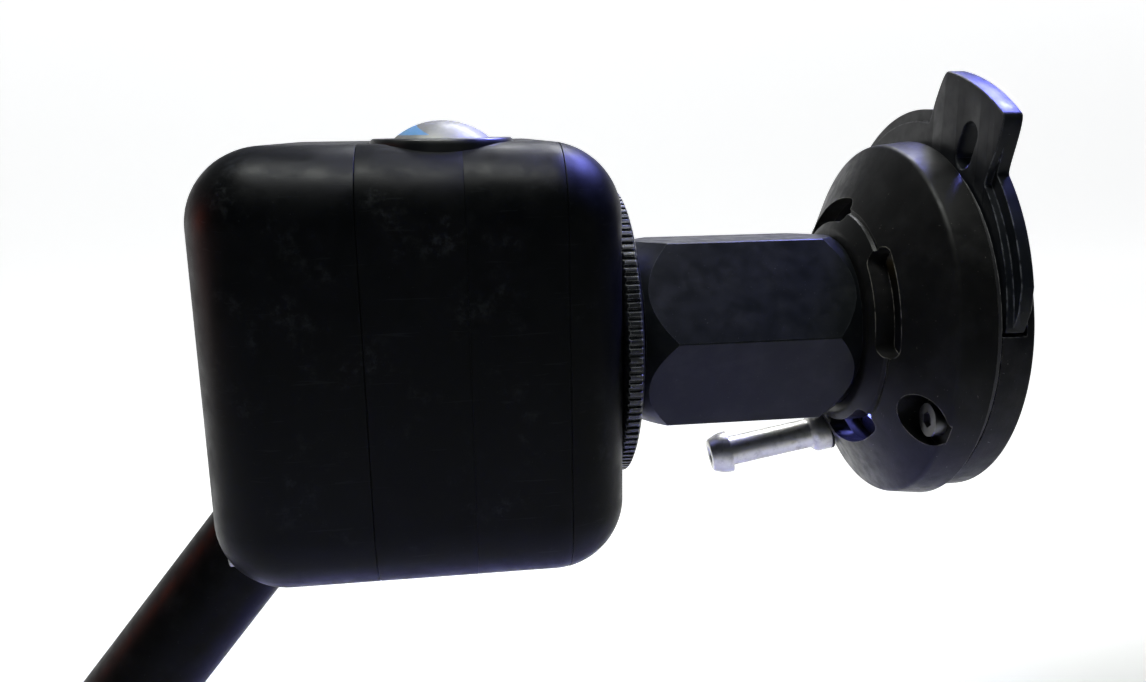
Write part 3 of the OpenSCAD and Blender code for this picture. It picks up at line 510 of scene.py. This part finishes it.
def housing_part(name, x0, x1, ease0, ease1):
    """One of the housing's four parts, with eased seams; an easing of None is the housing's own end."""
    outer = wall_stations(x0, x1, 0.0)
    inner = wall_stations(x0, x1, WALL)
    sections = []
    if ease0 is None:
        sections += [section(x0, EDGE_R - 0.02), section(x0, EDGE_R - 0.3)]
    else:
        base = edge_inset(x0)
        sections += [section(x0 + ease0 * (1 - cos(t)), base + ease0 * (1 - sin(t)))
                     for t in (0, pi / 6, pi / 3, pi / 2)]
    sections += [section(x, inset) for x, inset in outer]
    if ease1 is None:
        sections += [section(x1, EDGE_R - 0.3), section(x1, EDGE_R - 0.02), section(x1 - WALL, EDGE_R - 0.02)]
    else:
        base = edge_inset(x1)
        sections += [section(x1 - ease1 * (1 - cos(t)), base + ease1 * (1 - sin(t)))
                     for t in (pi / 2, pi / 3, pi / 6, 0)]
        sections.append(section(x1, edge_inset(x1) + WALL))
    sections += [section(x, inset) for x, inset in reversed(inner)]
    if ease0 is None:
        sections.append(section(x0 + WALL, EDGE_R - 0.02))
        return loft(name, sections)
    sections.append(section(x0, edge_inset(x0) + WALL))
    return loft(name, sections, closed=ease1 is not None)


def button_cutters():
    """Holes for the bezel and for its thread through the top wall."""
    return [peg((BUTTON.x, BUTTON.y, BEZEL_SEAT), (0, 0, 1), BEZEL_R + 0.06, 10),
            peg((BUTTON.x, BUTTON.y, 15), (0, 0, 1), BEZEL_THREAD_R + 0.1, 20)]


def at_tube(s):
    """A point on the support tube's axis, at a distance from the housing's centre."""
    a = radians(TUBE_SLOPE)
    return Vector((BODY_X + TUBE_AIM - s * cos(a), 0, -s * sin(a)))


tube_axis = (at_tube(1) - at_tube(0)).normalized()

rear_cover = housing_part("rear_cover_shell", REAR, SEAMS[0], None, SEAM_EASE[0])
cutters = [peg(at_tube(15), tube_axis, TUBE_R + 0.15, 40)]
for y, z in HOUSING_SCREWS:
    cutters.append(peg((REAR - 1, y, z), (1, 0, 0), HOUSING_SCREW_R, 5))
for y in (-SOCKET_SCREW_Y, SOCKET_SCREW_Y):
    cutters.append(peg((BODY_X + SOCKET_SCREW_X, y, -HALF_H - 1), (0, 0, 1), SOCKET_SCREW_R, 2.2))
cut(rear_cover, cutters)
finish_piece(rear_cover, "camera", "rear_cover", "rear_cover")

rear_frame = housing_part("rear_frame_shell", SEAMS[0], SEAMS[1], SEAM_EASE[0], SEAM_EASE[1])
cut(rear_frame, button_cutters())
finish_piece(rear_frame, "camera", "rear_frame", "rear_frame")

front_frame = housing_part("front_frame_shell", SEAMS[1], SEAMS[2], SEAM_EASE[1], SEAM_EASE[2])
cut(front_frame, button_cutters())
finish_piece(front_frame, "camera", "front_frame", "front_frame")

front_cover = housing_part("front_cover_shell", SEAMS[2], FRONT, SEAM_EASE[2], None)
cut(front_cover, [peg((FRONT - 4, 0, 0), (1, 0, 0), NOSE_R, 8)])
finish_piece(front_cover, "camera", "front_cover", "front_cover")

# ---------------------------------------------------------------- button

on_button = matrix_place(Matrix.Translation(BUTTON))
bezel = turned("button_bezel_rim", [
    (BEZEL_BORE_R, BEZEL_BASE, 0.1), (BEZEL_BORE_R, BEZEL_SEAT, 0),
    (BEZEL_BORE_R, RIM_Z - 1.8, 0.1), (DOME_R + 0.2, RIM_Z - 1.8, 0.1),
    (DOME_R + 0.2, RIM_Z - 0.35, 0.2), (DOME_R + 0.8, RIM_Z, 0.3), (BEZEL_R - 0.55, RIM_Z, 0.25),
    (BEZEL_R - 0.25, RIM_Z - 0.5, 0.3), (BEZEL_R, RIM_Z - 2.2, 0.3), (BEZEL_R, BEZEL_SEAT, 0.05),
    (BEZEL_THREAD_R, BEZEL_SEAT, 0), (BEZEL_THREAD_R, BEZEL_BASE, 0.1)], 128, on_button)
finish_piece(bezel, "camera", "bezel", "button_bezel")

# ---------------------------------------------------------------- lock ring


def ridged(r, depth):
    """Points round a ridged outline whose ridges are depth high."""
    one_ridge = ((0.0, 0.0), (0.12, 0.0), (0.24, 0.0), (0.36, 0.0),
                 (0.48, 0.12), (0.60, 0.9), (0.74, 1.0), (0.88, 0.9))
    return [(r - depth * drop, 2 * pi * (k + share) / RIDGES)
            for k in range(RIDGES) for share, drop in one_ridge]


def ring_section(x, r, depth):
    """The ridged outline at a station."""
    return [place_barrel(q * cos(a), q * sin(a), x) for q, a in ridged(r, depth)]


ring_r = ring_high.z
# Distance from the ring's side, radius and depth of the ridges, from the bore out
ring_side = ((0, THREAD_R, 0), (0, 17.6, 0), (0, 19.1, 0), (0.12, 19.4, 0.02),
             (0.35, ring_r - 0.12, RIDGE_H * 0.7), (0.5, ring_r, RIDGE_H))
lock_ring = loft("lock_ring_knurl",
                 [ring_section(ring_low.x + in_by, r, depth) for in_by, r, depth in ring_side]
                 + [ring_section(ring_high.x - in_by, r, depth) for in_by, r, depth in reversed(ring_side)],
                 closed=True)
finish_piece(lock_ring, "lock_ring", "lock_ring", "lock_ring", angle=32)

# ---------------------------------------------------------------- bell cover


def cone_x(r):
    """Station of the cone's face at a radius."""
    return HUB_FRONT + (r - HUB_R) * (RIM_FRONT - HUB_FRONT) / (CONE_R - HUB_R)


bell = turned("bell_cover_cone", [
    (SPIGOT_R, HUB_FRONT, 0.1), (HUB_R, HUB_FRONT, 0.35),
    (SLOT_R - 0.35, cone_x(SLOT_R - 0.35), 0.08), (SLOT_R - 0.2, cone_x(SLOT_R) + 0.3, 0.05),
    (SLOT_R + 0.2, cone_x(SLOT_R) + 0.35, 0.05), (SLOT_R + 0.35, cone_x(SLOT_R + 0.35), 0.08),
    (CONE_R - 0.1, RIM_FRONT, 0.5), (RIM_R, RIM_REAR, 0.25), (CAVITY_R, RIM_REAR, 0.1),
    (CAVITY_R, CAVITY_BACK, 0), (STEP_R, CAVITY_BACK, 0), (STEP_R, STEP_BACK, 0),
    (HUB_R + 0.5, HUB_IN, 0), (SPIGOT_R, HUB_IN, 0)], 256)


def slot_end(angle, start):
    """The round end of a slot, centred at an angle round the barrel."""
    a = radians(angle)
    turns = [a + start + pi * k / 12 for k in range(1, 12)]
    return [(SLOT_R * cos(a) + SLOT_W / 2 * cos(b), SLOT_R * sin(a) + SLOT_W / 2 * sin(b)) for b in turns]


def slot_cutter(angle):
    """An arc slot with round ends, as a prism along the barrel."""
    half = SLOT_SPAN / 2 - degrees(asin(SLOT_W / 2 / SLOT_R))
    outline = []
    for k in range(25):
        a = radians(angle - half + 2 * half * k / 24)
        outline.append(((SLOT_R + SLOT_W / 2) * cos(a), (SLOT_R + SLOT_W / 2) * sin(a)))
    outline += slot_end(angle + half, 0)
    for k in range(25):
        a = radians(angle + half - 2 * half * k / 24)
        outline.append(((SLOT_R - SLOT_W / 2) * cos(a), (SLOT_R - SLOT_W / 2) * sin(a)))
    outline += slot_end(angle - half, pi)
    return loft("cutter", [[place_barrel(u, v, x) for u, v in outline] for x in (-20, CAVITY_BACK - 0.2)])


at_barb = Matrix.Translation(round_at(cone_x(BARB_R), BARB_R, BARB_AT))
barb_way = Vector((-cos(radians(BARB_TILT)), 0, 0)) + round_at(0, sin(radians(BARB_TILT)), BARB_AT)
at_barb = at_barb @ Vector((0, 0, 1)).rotation_difference(barb_way).to_matrix().to_4x4()
cutters = [slot_cutter(SLOT_AT + 90 * k) for k in range(4)]
cutters += [peg(round_at(-20, POCKET_AT, a), (1, 0, 0), POCKET_R, 20 + POCKET_FLOOR) for a in POCKET_ANGLES]
cutters += [peg(tuple(at_barb @ Vector((0, 0, 0.02))), tuple(barb_way), BARB_COLLAR_R + 0.3, 8)]
cut(bell, cutters)
finish_piece(bell, "camera", "bell_cover", "bell_cover", angle=24)

barb = turned("hose_barb_turned", [
    (BARB_BORE_R, -2.6, 0), (BARB_SPIGOT_R, -2.6, 0.1), (BARB_SPIGOT_R, 0.4, 0), (BARB_COLLAR_R, 0.4, 0.1),
    (BARB_COLLAR_R, 2.6, 0.35), (2.65, 3.2, 0.15), (BARB_SHANK_R, 3.3, 0.2), (BARB_SHANK_R, BARB_L - 3.2, 0.15),
    (BARB_HEAD_R, BARB_L - 3.2, 0.2), (BARB_HEAD_R - 0.1, BARB_L - 1.8, 0.5), (2.5, BARB_L, 0.3),
    (1.5, BARB_L, 0.3), (BARB_BORE_R, BARB_L - 0.6, 0.1)], 72, matrix_place(at_barb))
finish_piece(barb, "camera", "hose_barb", "hose_barb")

# ---------------------------------------------------------------- lever

DISC_R, DISC_OFF, DISC_AT = 28.2, 2.7, -36
TAB_R, TAB_FROM, TAB_TO, TAB_FLANK = 35.8, 10, 34.5, 6
HUB_LEVER_R = 21.2
LOBE_FROM, LOBE_BEVEL, LOBE_TO, BEVEL_SWELL = -95, 71.5, 83.6, 0.3
LEVER_STEP, STEP_IN, LEVER_EASE = -3.2, 1.7, 0.25


def disc_reach(angle, r):
    """Radius of the lever's offset disc at an angle."""
    b = radians(angle - DISC_AT)
    return DISC_OFF * cos(b) + sqrt(r ** 2 - (DISC_OFF * sin(b)) ** 2)


def s_curve(t):
    """0 to 1 along an S-curve."""
    t = min(max(t, 0), 1)
    return t * t * (3 - 2 * t)


def lever_reach(angle, r=DISC_R, tab=TAB_R):
    """Radius of the lever's edge, with the thumb tab's sides drawn as S-curves."""
    disc = disc_reach(angle, r)
    up = s_curve((angle - TAB_FROM + TAB_FLANK) / TAB_FLANK)
    down = s_curve((TAB_TO + TAB_FLANK - angle) / TAB_FLANK)
    return disc + (tab - disc) * (up * down)


def lever_outline():
    """The lever's outline as (radius, angle): the disc, its bevelled end, then round the hub."""
    steps = 2 * int(LOBE_BEVEL - LOBE_FROM) + 2
    rows = [(lever_reach(angle), angle) for angle in (LOBE_FROM + k / 2 for k in range(steps))]
    middle = (disc_reach(LOBE_BEVEL, DISC_R) + FLANGE_R) / 2 + BEVEL_SWELL
    rows += [(middle, (LOBE_BEVEL + LOBE_TO) / 2), (FLANGE_R - 0.05, LOBE_TO)]
    rows += [(HUB_LEVER_R, LOBE_TO + 1 + 2 * k) for k in range(91)]
    return rows


def flat_plate(name, loops, x0, x1, ease):
    """A flat plate with eased edges from loops of flat points; the loops after the first are holes."""
    curve = bpy.data.curves.new(name, "CURVE")
    curve.dimensions = "2D"
    curve.fill_mode = "BOTH"
    curve.extrude = ((x1 - x0) / 2 - ease) * MM
    curve.bevel_depth = ease * MM
    curve.bevel_resolution = 2
    curve.offset = -ease * MM
    for loop in loops:
        spline = curve.splines.new("POLY")
        spline.points.add(len(loop) - 1)
        for point, (u, v) in zip(spline.points, loop):
            point.co = (u * MM, v * MM, 0, 1)
        spline.use_cyclic_u = True
    holder = bpy.data.objects.new(name + "_curve", curve)
    bpy.context.scene.collection.objects.link(holder)
    graph = bpy.context.evaluated_depsgraph_get()
    mesh = bpy.data.meshes.new_from_object(holder.evaluated_get(graph))
    bpy.data.objects.remove(holder)
    middle = (x0 + x1) / 2 * MM
    for vertex in mesh.vertices:
        u, v, w = vertex.co
        vertex.co = (w + middle, -v, u)
    tool = bmesh.new()
    tool.from_mesh(mesh)
    bmesh.ops.remove_doubles(tool, verts=tool.verts, dist=1e-7)
    bmesh.ops.recalc_face_normals(tool, faces=tool.faces)
    tool.to_mesh(mesh)
    tool.free()
    thing = bpy.data.objects.new(name, mesh)
    bpy.context.scene.collection.objects.link(thing)
    return thing


def polar(rows):
    """Flat points from rows of (radius, angle)."""
    return [(r * cos(radians(a)), r * sin(radians(a))) for r, a in rows]


def circle(r, steps=96):
    """A round hole's loop."""
    return [(r * cos(-2 * pi * k / steps), r * sin(-2 * pi * k / steps)) for k in range(steps)]


def oval(r, angle, length, width, steps=12):
    """A slot with round ends, lying along the radius."""
    loop = []
    a = radians(angle)
    for way in (1, -1):
        for k in range(steps + 1):
            b = -pi / 2 + pi * k / steps + (0 if way > 0 else pi)
            u = r + way * (length - width) / 2 + width / 2 * cos(b)
            v = width / 2 * sin(b)
            loop.append((u * cos(a) - v * sin(a), u * sin(a) + v * cos(a)))
    return loop[::-1]


def step_cutter():
    """Cuts the lever's face towards the bell down to a smaller disc, all but the thumb tab."""
    rows = []
    for k in range(720):
        angle = LOBE_FROM - 5 + k / 2
        lobe = angle < LOBE_TO + 5
        rows.append((lever_reach(angle, DISC_R - STEP_IN, TAB_R + 2) if lobe else HUB_LEVER_R + 1, angle))
    inner, outer = polar(rows), polar([(50, angle) for _, angle in rows])
    return loft("cutter", [[place_barrel(u, v, x) for u, v in ring] for ring, x in
                           ((inner, -6), (outer, -6), (outer, LEVER_STEP), (inner, LEVER_STEP))], closed=True)


lever_loops = [polar(lever_outline()), circle(LEVER_BORE_R), oval(OVAL_R, OVAL_AT, OVAL_L, OVAL_W)]
lever = flat_plate("lever_plate_cut", lever_loops, LEVER_BACK, LEVER_FRONT, LEVER_EASE)
cut(lever, [step_cutter()])
finish_piece(lever, "lever", "lever_plate", "lever_plate")

# ---------------------------------------------------------------- back flange

flange = turned("back_flange_turned", [
    (SOCKET_R, FLANGE_BACK, 0.3), (SLEEVE_R, FLANGE_BACK, 0.1), (SLEEVE_R, FLANGE_FACE, 0),
    (CHANNEL_R, FLANGE_FACE, 0), (CHANNEL_R, FLANGE_BACK, 0.1), (FLANGE_R, FLANGE_BACK, 0.2),
    (FLANGE_R, 0, 0.45), (SOCKET_R, 0, 0.4)], 256)


def gap_cutter(a0, a1):
    """Cuts the flange's wall away between two angles."""
    angles = [a0 + (a1 - a0) * k / 60 for k in range(61)]
    outline = polar([(19, a) for a in angles] + [(30, a) for a in reversed(angles)])
    return loft("cutter", [[place_barrel(u, v, x) for u, v in outline] for x in (-6, FLANGE_FACE)])


cut(flange, [gap_cutter(a0, a1) for a0, a1 in WALL_GAPS]
    + [peg(round_at(FLANGE_SCREW_X, FLANGE_SCREW_AT, a), (1, 0, 0), FLANGE_SCREW_R, 3) for a in FLANGE_SCREWS])
finish_piece(flange, "camera", "back_flange", "back_flange", angle=24)

# ---------------------------------------------------------------- support tube

tube_turn = Vector((0, 0, 1)).rotation_difference(tube_axis).to_matrix().to_4x4()
on_tube = matrix_place(Matrix.Translation(at_tube(0)) @ tube_turn)
tube = turned("support_tube_drawn", [
    (TUBE_R - TUBE_WALL, TUBE_FROM, 0), (TUBE_R, TUBE_FROM, 0.1), (TUBE_R, TUBE_TO, 0.3),
    (TUBE_R - TUBE_WALL, TUBE_TO, 0.1)], 128, on_tube)
finish_piece(tube, "camera", "support_tube", "support_tube")

# ---------------------------------------------------------------- floor, lights and camera

FLOOR_Z = cad_box[0][2] / MM - 0.05
FLOOR_NEAR, FLOOR_FAR, FLOOR_HALF_W = -2500, 700, 3000
SWEEP_R, WALL_TOP = 500, 2600
GLOW, GLOW_FROM, GLOW_TO, GLOW_TOP, GLOW_END = 0.78, 35, 115, 225, 330


def backdrop():
    """A pale floor that sweeps up into a wall well behind the object, and glows there up to eye level."""
    sweep = [radians(5 * k) for k in range(1, 19)]
    profile = [(FLOOR_NEAR, FLOOR_Z), (FLOOR_FAR, FLOOR_Z)]
    profile += [(FLOOR_FAR + SWEEP_R * sin(a), FLOOR_Z + SWEEP_R * (1 - cos(a))) for a in sweep]
    profile += [(FLOOR_FAR + SWEEP_R, WALL_TOP)]
    verts = [(x, y, z) for y, z in profile for x in (-FLOOR_HALF_W, FLOOR_HALF_W)]
    faces = [(2 * k, 2 * k + 1, 2 * k + 3, 2 * k + 2) for k in range(len(profile) - 1)]
    thing = new_object("studio_floor", verts, faces)
    smooth(thing, 60)
    n = Nodes("floor_paper")
    color = n.mix(n.noise(0.004, 3, 0.5), (0.93, 0.93, 0.93), (0.90, 0.90, 0.90))
    thing.data.materials.append(n.done(color, 0.75, n.bump(n.noise(1.2, 3, 0.6), 0.02, 0.2),
                                       Emission_Color=(1, 1, 1, 1)))
    place = n.tree.nodes.new("ShaderNodeSeparateXYZ")
    n.link(n.mm, place.inputs[0])
    behind = n.ramp(place.outputs["Y"], GLOW_FROM, GLOW_TO, 0.0, GLOW)
    low = n.ramp(place.outputs["Z"], GLOW_END, GLOW_TOP)
    n.link(n.math("MULTIPLY", behind, low), n.shader.inputs["Emission Strength"])


backdrop()


def softbox(name, at, target, width, height, power, color, spread=180):
    """An area light, with its size in millimetres and its spread in degrees."""
    lamp = bpy.data.lights.new(name, "AREA")
    lamp.shape = "RECTANGLE"
    lamp.size, lamp.size_y = width * MM, height * MM
    lamp.energy = power
    lamp.color = color
    lamp.spread = radians(spread)
    thing = bpy.data.objects.new(name, lamp)
    bpy.context.scene.collection.objects.link(thing)
    at, target = Vector(at), Vector(target)
    turn = (target - at).to_track_quat("-Z", "Y").to_matrix().to_4x4()
    thing.matrix_world = Matrix.Translation(at * MM) @ turn
    return thing


softbox("top_light", (-110, -60, 420), (-75, 0, 0), 320, 70, 2.0, (0.97, 1.0, 0.96))
softbox("violet_light", (170, 150, 320), (-40, 0, 0), 110, 110, 0.22, (0.22, 0.24, 1.0), 34)
softbox("barrel_light", (30, 240, 300), (-40, 0, 0), 200, 80, 0.12, (0.95, 0.97, 1.0), 60)
softbox("red_light", (-420, 60, 40), (-90, 0, -20), 120, 120, 0.008, (1.0, 0.18, 0.10), 50)

world = bpy.data.worlds.new("studio_dark")
world.use_nodes = True
world.node_tree.nodes["Background"].inputs["Color"].default_value = (0.75, 0.88, 1.0, 1)
world.node_tree.nodes["Background"].inputs["Strength"].default_value = 0.05
bpy.context.scene.world = world

CAMERA_AT = (-72.64, -132.5, 28.44)
YAW, PITCH, ROLL = 7.55, 12.58, -0.82
FOCAL_PIXELS, IMAGE_WIDTH, SENSOR = 954.3, 1146, 36


def photograph_camera():
    """The camera that sees the object as the photograph does."""
    yaw, pitch, roll = radians(YAW), radians(PITCH), radians(ROLL)
    ahead = Vector((sin(yaw) * cos(pitch), cos(yaw) * cos(pitch), -sin(pitch)))
    right0 = ahead.cross(Vector((0, 0, 1))).normalized()
    up0 = right0.cross(ahead)
    right = right0 * cos(roll) + up0 * sin(roll)
    up = right.cross(ahead)
    data = bpy.data.cameras.new("photo_camera")
    data.sensor_width = SENSOR
    data.sensor_fit = "HORIZONTAL"
    data.lens = FOCAL_PIXELS * SENSOR / IMAGE_WIDTH
    data.clip_start, data.clip_end = 0.01, 20
    thing = bpy.data.objects.new("photo_camera", data)
    turn = Matrix((right, up, -ahead)).transposed().to_4x4()
    thing.matrix_world = Matrix.Translation(Vector(CAMERA_AT) * MM) @ turn
    bpy.context.scene.collection.objects.link(thing)
    bpy.context.scene.camera = thing


photograph_camera()
bpy.context.scene.view_settings.view_transform = "Standard"
